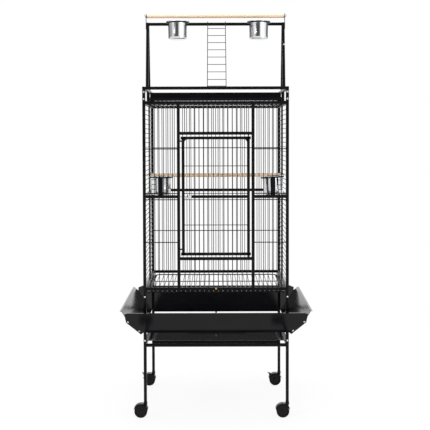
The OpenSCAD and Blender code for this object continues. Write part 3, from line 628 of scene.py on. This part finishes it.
def make_front():
    half = TUBE / 2
    inner = DOOR_PX + half
    for side, s in (("left", -1), ("right", 1)):
        x0, x1 = (-IX, -inner) if s < 0 else (inner, IX)
        shape = Shape()
        shape.bar_z(s * PX, -PY, LEG_TOP + 0.15, POST_TOP)
        shape.bar_z(s * DOOR_PX, -PY, LOW_Z - half, POST_TOP)
        for z in (LOW_Z, MID_Z, TOP_Z):
            shape.bar_x(x0 - 0.4, x1 + 0.4, -PY, z)
        upright_bars(shape, x0, x1, LOW_Z + half, MID_Z - half, -PY,
                     (TIES["low"], TIES["under"]), TIE_BACK)
        upright_bars(shape, x0, x1, MID_Z + half, TOP_Z - half, -PY,
                     (TIES["high"], TIES["over"]), TIE_BACK)
        finish_piece(shape, f"front_{side}_wing")
    for name, outer, edge, low, high in (("upper", TOP_Z, HEAD_Z, HEAD_Z, TOP_Z),
                                         ("lower", LOW_Z, SILL_Z, LOW_Z, SILL_Z)):
        shape = Shape()
        shape.bar_x(-DOOR_IX, DOOR_IX, -PY, outer)
        shape.bar_x(-DOOR_IX, DOOR_IX, -PY, edge)
        upright_bars(shape, -DOOR_IX, DOOR_IX, low + half, high - half, -PY)
        finish_piece(shape, f"front_{name}_panel")


def make_back_and_sides():
    half = TUBE / 2
    shape = Shape()
    for s in (-1, 1):
        shape.bar_z(s * PX, PY, LEG_TOP + 0.15, POST_TOP)
    for z in (LOW_Z, MID_Z, TOP_Z):
        shape.bar_x(-IX - 0.4, IX + 0.4, PY, z)
    upright_bars(shape, -IX, IX, LOW_Z + half, TOP_Z - half, PY, (TIES["low"], TIES["high"]), -TIE_BACK)
    finish_piece(shape, "back_panel")
    for side, s in (("left", -1), ("right", 1)):
        shape = Shape()
        for z in (LOW_Z, MID_Z, TOP_Z):
            shape.bar_y(s * PX, -IY + 0.1, IY - 0.1, z)
        for z in places(LOW_Z + half, MID_Z - half) + places(MID_Z + half, TOP_Z - half):
            shape.wire_y(s * PX, -IY + 0.1, IY - 0.1, z, bite=0)
        for e in (-1, 1):
            shape.wire_z(s * (PX - WIRE + 0.6), e * (IY - WIRE / 2 - 0.2),
                         LOW_Z + half - 1, TOP_Z - half + 1, flare=0.2, bow=0)
        shape.wire_z(s * (PX - 3.4), -12, LOW_Z + half - 1, TOP_Z - half + 1, 5, bow=0)
        finish_piece(shape, f"{side}_panel")


def make_roof():
    shape = Shape()
    edge, reach_x, reach_y = 8, IX - 1, IY - 0.3
    for s in (-1, 1):
        y = s * (reach_y - edge / 2)
        shape.bar((-reach_x, y, TOP_Z - 1), (reach_x, y, TOP_Z - 1), edge, 1.2)
    for x in places(-reach_x, reach_x):
        shape.wire_y(x, -reach_y + edge - 1, reach_y - edge + 1, TOP_Z - 2.4)
    shape.wire_x(-reach_x, reach_x, 0, TOP_Z - 2.4 + TIE_BACK, TIE, bow=0)
    finish_piece(shape, "roof_panel")


# ---- main door ----


def make_door():
    """Frame, bars, ties and corner gussets of the door, with the bar that carries its latch."""
    low, high = span("main_door")
    tube = DOOR_TUBE
    door_x = high.x - 4
    stile, inside = door_x - tube / 2, door_x - tube
    bottom, top = low.z + tube / 2, high.z - tube / 2
    bars_y = -PY + 2.9
    latch = span("door_latch")
    shape = Shape()
    for s in (-1, 1):
        shape.bar((s * stile, -PY, low.z), (s * stile, -PY, high.z), tube, 1.5)
    for z in (bottom, top):
        shape.bar((-door_x - 4, -PY, z), (-inside + 0.5, -PY, z), tube, 1.5)
        shape.bar((-inside, -PY, z), (inside, -PY, z), tube, 1.5)
        shape.bar((inside - 0.5, -PY, z), (door_x + 4, -PY, z), tube, 1.5)
    shape.bar((latch[1].x - 4, -PY, MID_Z), (inside + 0.5, -PY, MID_Z), tube, 1.5)
    for x in places(-inside, inside):
        shape.wire_z(x, bars_y, bottom, top, bite=4)
    for z in (TIES["under"], TIES["over"], MID_Z + 128, MID_Z - 119):
        shape.wire_x(-inside - 1, inside + 1, bars_y - 2.4, z, bow=0)
    for s in (-1, 1):
        rise = [(inside + 1, top - 19), (inside + 1, top), (inside - 14, top), (inside - 14, top - 4.5),
                (inside - 8.5, top - 6.2), (inside - 3.8, top - 9.8), (inside - 1, top - 14.5)]
        shape.slab([(s * x, -PY - 2, z) for x, z in rise], (0, 4, 0), 0.3)
    finish_piece(shape, "main_door")


def make_latch():
    """A sliding rod with a stub to its finger plate, which narrows upwards and has a slot."""
    low, high = span("door_latch")
    axis_y, axis_z = high.y - 2.5, (low.z + high.z) / 2
    grip = low.x + 34.5
    shape = Shape()
    shape.turned([(1.7, 0), (2.3, 0.5), (2.5, 1.4), (2.5, high.x - low.x - 0.6), (2.2, high.x - low.x)],
                 (low.x, axis_y, axis_z), (1, 0, 0), 20)
    shape.turned([(2, 0), (2, high.y - 3.5 - low.y)], (grip, low.y + 1, axis_z), (0, 1, 0), 16)
    count = 24
    rings = []
    for scale, y in ((0.94, 0.0), (1.0, 0.4), (1.0, 1.6), (0.94, 2.0)):
        ring = []
        for i in range(count):
            angle = 2 * math.pi * (i + 0.5) / count
            u, v = math.cos(angle), math.sin(angle)
            reach = 1 / max(abs(u) ** 8 + abs(v) ** 8, 1e-9) ** 0.125
            z = v * reach * 10 * scale
            ring.append(Vector((grip + u * reach * (7.75 - 0.225 * z) * scale, low.y + y, axis_z + z)))
        rings.append(ring)
    for scale, y in ((0.9, 2.0), (1.0, 1.7), (1.0, 0.3), (0.9, 0.0)):
        ring = []
        for i in range(count):
            angle = 2 * math.pi * (i + 0.5) / count
            ring.append(Vector((grip + math.cos(angle) * 3.6 * (2 - scale), low.y + y,
                                axis_z - 5.7 + math.sin(angle) * 1.8 * (2 - scale))))
        rings.append(ring)
    shape.loft(rings, closed=True)
    finish_piece(shape, "door_latch", sharp=50)


def make_knob():
    shape = Shape()
    low, high = span("front_knob")
    at = ((low.x + high.x) / 2, high.y, (low.z + high.z) / 2)

    def knurl(radius, angle):
        return radius * (1 - 0.035 * (math.sin(angle * 18) > 0) * (radius > 4.3))

    profile = [(4.0, 0), (4.5, 0.3), (4.55, 0.8), (4.55, 3.3), (4.3, 3.8), (3.9, 4.1), (3.2, 5.2), (2.4, 5.6)]
    shape.turned(profile, at, (0, -1, 0), 72, knurl)
    finish_piece(shape, "front_knob", sharp=45)


# ---- grate and trays ----


def make_grate():
    low, high = span("grate")
    z = high.z - 2.5
    hx, r = high.x - 2, 30.0
    front, rear = low.y + 2.5, high.y - 2.5
    shape = Shape()
    shape.wire_x(-hx - 2, hx + 2, front, z, 5, flare=0, bow=0)
    arc = [(math.cos(math.radians(t)), math.sin(math.radians(t))) for t in range(0, 91, 10)]
    path = [(hx, front, z)] + [(hx - r + r * c, rear - r + r * s, z) for c, s in arc]
    path += [(-hx + r - r * c, rear - r + r * s, z) for c, s in reversed(arc)] + [(-hx, front, z)]
    shape.bent(path, 5, 12)
    for x in places(-hx, hx):
        past = max(abs(x) - hx + r, 0)
        shape.wire_y(x, front, rear - (r - math.sqrt(max(r * r - past * past, 0)) if past else 0), z, bite=2)
    for y in (front + 163, front + 326):
        shape.wire_x(-hx + 8, hx - 8, y, z - 2.4, TIE, flare=0, bow=0)
    finish_piece(shape, "grate")


def fold(points, radius=1.6, steps=3):
    """Rounds the corners of an open row of (x, z) points."""
    points = [Vector(p) for p in points]
    out = [points[0]]
    for before, corner, after in zip(points, points[1:], points[2:]):
        a = corner + (before - corner).normalized() * radius
        b = corner + (after - corner).normalized() * radius
        for i in range(steps + 1):
            t = i / steps
            out.append(a * (1 - t) ** 2 + corner * 2 * t * (1 - t) + b * t * t)
    return out + [points[-1]]


def pan(shape, y0, y1, floor_z, side_profile, sag, rows=25, columns=22):
    """Floor and folded sides of a sheet pan, which sags between its edges."""
    right = fold(side_profile)
    left = [Vector((-p.x, p.y)) for p in reversed(right)]
    inner = right[0].x
    across_floor = [-inner + 2 * inner * j / columns for j in range(1, columns)]
    grid = []
    for i in range(rows):
        t = i / (rows - 1)
        y = y0 + (y1 - y0) * t
        dip = sag * 4 * t * (1 - t)
        row = [Vector((p.x, y, p.y)) for p in left]
        row += [Vector((x, y, floor_z - dip * max(1 - (x / inner) ** 2, 0))) for x in across_floor]
        row += [Vector((p.x, y, p.y)) for p in right]
        grid.append(row)
    shape.skin(grid)


def cross_wall(shape, half_x, y, profile, parts=12):
    """A folded end wall along X. The profile is (out, z) pairs, with out measured from y."""
    outline = fold(profile)
    grid = []
    for i in range(parts + 1):
        x = -half_x + 2 * half_x * i / parts
        grid.append([Vector((x, y + p.x, p.y)) for p in outline])
    shape.skin(grid)


def make_bottom_tray():
    low, high = span("bottom_tray")
    hx, floor_z, lip_z = high.x - 22, low.z + SHEET / 2, high.z - 1.5
    y0, y1 = low.y + 4, high.y
    shape = Shape()
    pan(shape, y0 + 1.4, y1 - 1.4, floor_z,
        [(hx - 14, floor_z), (hx - 0.6, floor_z), (hx - 0.6, lip_z + 0.5), (hx + 21.4, lip_z + 0.5)], 1.8)
    cross_wall(shape, hx - 0.2, y0, [(9, floor_z - 1.75), (0.6, floor_z - 1.75), (0.6, lip_z + 0.9),
                                     (-3.4, lip_z + 0.9)])
    cross_wall(shape, hx - 0.2, y1, [(-9, floor_z + 0.02), (-0.6, floor_z + 0.02), (-0.6, lip_z + 0.9)])
    finish_piece(shape, "bottom_tray")


def make_play_tray():
    low, high = span("play_tray")
    hx, floor_z = high.x, low.z + 0.5
    y0, y1, top = low.y, high.y, high.z
    shape = Shape()
    pan(shape, y0 + 1.4, y1 - 1.4, floor_z,
        [(hx - 14, floor_z), (hx - 0.6, floor_z), (hx - 0.6, low.z + 15.9)], 0.8)
    cross_wall(shape, hx - 0.1, y0, [(10, floor_z + 0.02), (0.6, floor_z + 0.02), (0.6, top - 0.6),
                                     (8, top - 0.6), (8.2, top - 3.4)])
    cross_wall(shape, hx - 0.1, y1, [(-10, floor_z + 0.02), (-0.6, floor_z + 0.02), (-0.6, low.z + 15.9)])
    finish_piece(shape, "play_tray")


# ---- seed guards ----


def make_guard_bolts():
    shape = Shape()
    flare = Vector((PX + TUBE / 2 + 0.1, PY + TUBE / 2 + 0.1, 360))
    top = Vector((span("seed_guard_right")[1].x - 7.6, span("seed_guard_rear")[1].y - 7.6,
                  span("seed_guard_rear")[1].z - 0.6))
    for sx in (-1, 1):
        for sy in (-1, 1):
            normal = Vector((0, sy * (top.z - flare.z), flare.y - top.y)).normalized()
            for x, z in ((top.x - 26, top.z - 43.5), (flare.x + 16.5, flare.z + 9)):
                t = (z - flare.z) / (top.z - flare.z)
                at = Vector((sx * x, sy * (flare.y + (top.y - flare.y) * t), z))
                socket_head(shape, at + normal * SHEET, normal, 4.4, 2.4)
                shape.turned([(3.3, 0), (3.6, 0.3), (3.6, 2.2), (3.2, 2.6)], at - normal * SHEET, -normal, 6)
                shape.turned([(2.4, 2.5), (2.4, 3.2), (2.0, 3.6)], at - normal * SHEET, -normal, 16)
    finish_piece(shape, "seed_guard_bolts")


# ---- play top ----


def make_play_top():
    shape = Shape()
    for sx in (-1, 1):
        for sy in (-1, 1):
            shape.bar_z(sx * PX, sy * PY, PLAY_LOW, PLAY_Z - TUBE / 2 - 0.1)
        shape.bar_z(sx * PX, 0, PLAY_LOW + SHEET, PLAY_Z - TUBE / 2 - 0.1)
    finish_piece(shape, "play_top_posts")
    shape = Shape()
    for s in (-1, 1):
        shape.bar_x(-PX - TUBE / 2, PX + TUBE / 2, s * PY, PLAY_Z)
        shape.bar_y(s * PX, -IY, IY, PLAY_Z)
    finish_piece(shape, "play_top_rails")
    foot, head = PLAY_Z + TUBE / 2, BAR_Z + TUBE / 2
    spread = 62.0  # from the middle of the cage to the middle of a foot
    slant = math.hypot(spread - TUBE / 2, head - foot) / (head - foot)
    for side, sx in (("left", -1), ("right", 1)):
        shape = Shape()
        for sy in (-1, 1):
            rings = []
            for z, ease in ((foot, 1.0), (foot + 0.5, 0.0), (head - 0.5, 0.0), (head, 1.0)):
                y = sy * (spread - (z - foot) / (head - foot) * (spread - TUBE / 2))
                profile = square(TUBE * slant - ease, 1.8, 3, TUBE - ease)
                rings.append([(sx * PX + q, y + p, z) for p, q in profile])
            shape.loft(rings)
        finish_piece(shape, f"support_{side}")
    shape = Shape()
    shape.bar_x(-IX, IX, 0, BAR_Z)
    finish_piece(shape, "crossbar")
    shape = Shape()
    low, high = span("support_bolt")
    at = ((low.x + high.x) / 2, high.y - 0.8, (low.z + high.z) / 2)
    shape.turned([(3.4, 0), (3.6, 0.2), (3.6, 0.9), (3.1, 1.5), (2.2, 1.9), (1.0, 2.0)], at, (0, -1, 0), 32)
    finish_piece(shape, "support_bolt")


def make_perch(node, bow):
    """A round dowel that is a little uneven and bowed, with eased ends."""
    low, high = span(node)
    radius = (high.z - low.z) / 2 - 0.12
    centre = (low + high) / 2
    reach = high.x
    shape = Shape()
    stations = []
    count = 48
    phase = chance.uniform(0, 6)
    for i in range(count + 1):
        t = -1 + 2 * i / count
        x = reach * t
        drop = bow * (1 - t * t)
        r = radius + 0.1 * math.sin(7 * t + phase)
        if i in (0, count):
            stations.append((Vector((x, centre.y, centre.z - drop)), Vector((1, 0, 0)), circle(r - 1.2, 32)))
            x -= math.copysign(1.2, t)
            stations.append((Vector((x, centre.y, centre.z - drop)), Vector((1, 0, 0)), circle(r, 32)))
            if i == count:
                stations[-2], stations[-1] = stations[-1], stations[-2]
        else:
            stations.append((Vector((x, centre.y, centre.z - drop)), Vector((1, 0, 0)), circle(r, 32)))
    shape.sweep(stations)
    finish_piece(shape, node)


def make_perch_screws(node, plate_x, washer):
    """A washer, a wing nut and the end of a screw at each end of a perch."""
    z = middle(node).z
    shape = Shape()
    for s in (-1, 1):
        at, way = Vector((s * plate_x, 0, z)), Vector((s, 0, 0))
        shape.turned([(washer - 0.4, 0), (washer, 0.25), (washer, 1.2), (washer - 0.4, 1.5)], at, way, 40)
        shape.turned([(4.3, 1.4), (4.5, 1.8), (4.2, 5.0), (3.4, 6.4), (2.6, 6.5)], at, way, 28)
        shape.turned([(2.4, 6.0), (2.5, 6.6), (2.5, 8.4), (2.0, 9.0)], at, way, 20)
        for w in (-1, 1):
            lean = math.radians(62 * w)
            u = Vector((0, -math.sin(lean), math.cos(lean)))
            v = Vector((0, math.cos(lean), math.sin(lean)))
            rings = []
            for reach, wide, thick in ((2.6, 4.4, 2.0), (5, 4.6, 1.8), (8.5, 5.8, 1.7), (11.0, 5.4, 1.6),
                                       (11.9, 3.6, 1.2)):
                rings.append([at + way * (5.2 + p) + u * reach + v * q
                              for p, q in square(wide, 0.55, 3, thick)])
            shape.loft(rings)
    finish_piece(shape, node)


# ---- cups ----


def rim_middle(node):
    """Middle of a cup's rim. The leaning cup's is found from its outer edge and from its twin's height."""
    low, high = span(node)
    if node != "cup_cage_right":
        return Vector(((low.x + high.x) / 2, (low.y + high.y) / 2, high.z))
    twin = rim_middle("cup_cage_left")
    return Vector((high.x - CUP_RIM_R - 0.06, twin.y, twin.z))


def cup(node, lean=0.0):
    """A drawn steel cup: dished base, tapered wall, flared shoulder and a rolled rim."""
    low, high = span("cup_cage_left")
    deeper = (high.z - low.z) / CUP_DRAWN_DEPTH
    outside = [(3, -73.6), (26, -73.6), (33, -74.6), (37, -74.9), (39.2, -73.8), (40.2, -71.6), (40.5, -66),
               (40.6, -65.2), (40.6, -50), (41.2, -30), (41.9, -8), (42.1, -4.4), (42.9, -3.1), (44.6, -2.55),
               (48.6, -2.5)]
    bead = [(49.75 + 1.25 * math.cos(math.radians(t)), -1.28 + 1.25 * math.sin(math.radians(t)))
            for t in range(-100, 161, 26)]
    inside = [(47.6, -1.75), (44.2, -1.7), (42.4, -2.3), (41.3, -4.0), (41.1, -8), (40.4, -30), (39.8, -50),
              (39.7, -66), (39.4, -70.6), (38.0, -72.6), (36, -73.4), (30, -73.0), (3, -72.7)]
    outside = [(r, z * deeper if z < -6 else z) for r, z in outside]
    inside = [(r, z * deeper if z < -6 else z) for r, z in inside]
    shape = Shape()
    shape.turned(outside + bead + inside, (0, 0, 0), (0, 0, 1), 72)
    matrix = Matrix.Translation(rim_middle(node)) @ Matrix.Rotation(math.radians(-lean), 4, "Y")
    shape.place(matrix)
    finish_piece(shape, node, sharp=50)


def ring_of(shape, at, lean=0.0):
    """The wire ring that a cup hangs in by its rim."""
    turn = Matrix.Rotation(math.radians(-lean), 4, "Y")
    count = 64
    rings = []
    for i in range(count):
        angle = 2 * math.pi * i / count
        out = Vector((math.cos(angle), math.sin(angle), 0))
        rings.append([Vector(at) + turn @ (out * (HOLDER_RING_R + p) + Vector((0, 0, q - HOLDER_DROP)))
                      for p, q in circle(HOLDER_WIRE / 2, 12)])
    shape.loft(rings, closed=True)


def make_cup_holders():
    shape = Shape()
    for side in ("left", "right"):
        at = rim_middle(f"cup_top_{side}")
        ring_of(shape, at)
        back = -TUBE / 2
        level = at.z - HOLDER_DROP
        shape.bar((at.x, at.y + STEM_INSET, level), (at.x, back, level), 4, 0.8, 20)
        shape.bar((at.x, back - 1, at.z - 11), (at.x, back - 1, at.z + 0.6), 20, 0.6, 2)
    for side, lean in (("left", 0.0), ("right", CUP_LEAN)):
        at = rim_middle(f"cup_cage_{side}")
        ring_of(shape, at, lean)
        low = MID_Z - TUBE / 2
        shape.bar((at.x, -IY + 1, low), (at.x, -IY + 1, at.z - 3.4), 20, 0.6, 2)
        level = at.z - HOLDER_DROP
        shape.bar((at.x, -IY + 0.4, level), (at.x, at.y - STEM_INSET, level), 4, 0.8, 20)
    finish_piece(shape, "cup_holders")


# ---- ladder ----


def make_ladder():
    low, high = span("ladder")
    width, wire, centre_x = 78.0, WIRE, (low.x + high.x) / 2
    rung, first_rung, rung_pitch = wire - 0.4, -41.3, 44.7
    hook = TUBE * math.sqrt(2) / 2 + 2
    rest_y, rest_drop = IY, BAR_Z - PLAY_Z - TUBE / 2
    offset = hook - wire / 2 - 0.2
    lean = math.acos(offset / math.hypot(rest_y, rest_drop)) - math.atan2(rest_drop, rest_y)
    length = rest_y * math.sin(lean) + rest_drop * math.cos(lean)
    shape = Shape()
    for s in (-1, 1):
        arc = [(s * width / 2, hook * math.cos(math.radians(t)), hook * math.sin(math.radians(t)))
               for t in range(-30, 181, 15)]
        shape.bent(arc + [(s * width / 2, -hook, -d) for d in (6, 40, length * 0.5, length - 3)]
                   + [(s * width / 2, -hook + 0.1, -length)], wire, 12)
    for i in range(8):
        z = first_rung - i * rung_pitch
        shape.wire_x(-width / 2 - 1.2, width / 2 + 1.2, -hook - 1.1, z, rung, flare=0.35, bow=0.15)
    shape.wire_x(-width / 2, width / 2, -hook, -length + 1.3, rung, flare=0.3, bow=0)
    shape.place(Matrix.Translation((centre_x, 0, BAR_Z)) @ Matrix.Rotation(-lean, 4, "X"))
    finish_piece(shape, "ladder")


# ---- casters ----


def make_wheels():
    for side_y in ("front", "rear"):
        for side_x in ("left", "right"):
            node = f"wheels_{side_y}_{side_x}"
            at = middle(node)
            radius = (span(node)[1].z - span(node)[0].z) / 2
            shape = Shape()
            shape.turned([(3, -7), (3, 7)], at, (0, 1, 0), 24)
            tread = [(2.0, 5.3), (radius - 1.6, 5.3), (radius - 0.5, 5.8), (radius, 7.0), (radius, 15.6),
                     (radius - 0.6, 16.8), (radius - 2.0, 17.3), (radius - 4.4, 17.3), (radius - 5.2, 16.9),
                     (radius - 5.8, 14.6), (radius - 7, 14.3), (12, 14.3), (9.2, 14.5), (8.2, 15.0),
                     (7.8, 16.6), (6.8, 17.25), (3.0, 17.3)]
            for s in (-1, 1):
                shape.turned(tread, at, (0, s, 0), 56)
            finish_piece(shape, node)


make_camera()
make_floor()
make_world()
make_lights()

make_stand()
make_frame_bolts()
make_front()
make_back_and_sides()
make_roof()
make_door()
make_latch()
make_knob()
make_grate()
make_bottom_tray()
make_play_tray()
make_guard_bolts()
make_play_top()
make_perch("top_perch", 0.3)
make_perch("cage_perch", 0.2)
make_perch_screws("top_perch_screws", 307, 6.5)
make_perch_screws("cage_perch_screws", PX + WIRE / 2 + 0.2, 11)
cup("cup_top_left")
cup("cup_top_right")
cup("cup_cage_left")
cup("cup_cage_right", CUP_LEAN)
make_cup_holders()
make_ladder()
make_wheels()

for side in ("front_left", "front_right", "rear_left", "rear_right"):
    paint(f"caster_{side}", 0.7)
for kept in ("leg_sockets", "brake_lever_left", "brake_lever_right"):
    paint(kept, 0.5)
for kept in ("seed_guard_front", "seed_guard_rear", "seed_guard_left", "seed_guard_right"):
    paint(kept, 0.25)
for kept in ("tray_runners", "grate_runners", "play_tray_runners", "perch_brackets", "rear_rail_caps",
             "door_hinge_pins", "door_stops", "seed_guard_screws"):
    paint(kept, 0.3)

scene.view_settings.view_transform = "Standard"
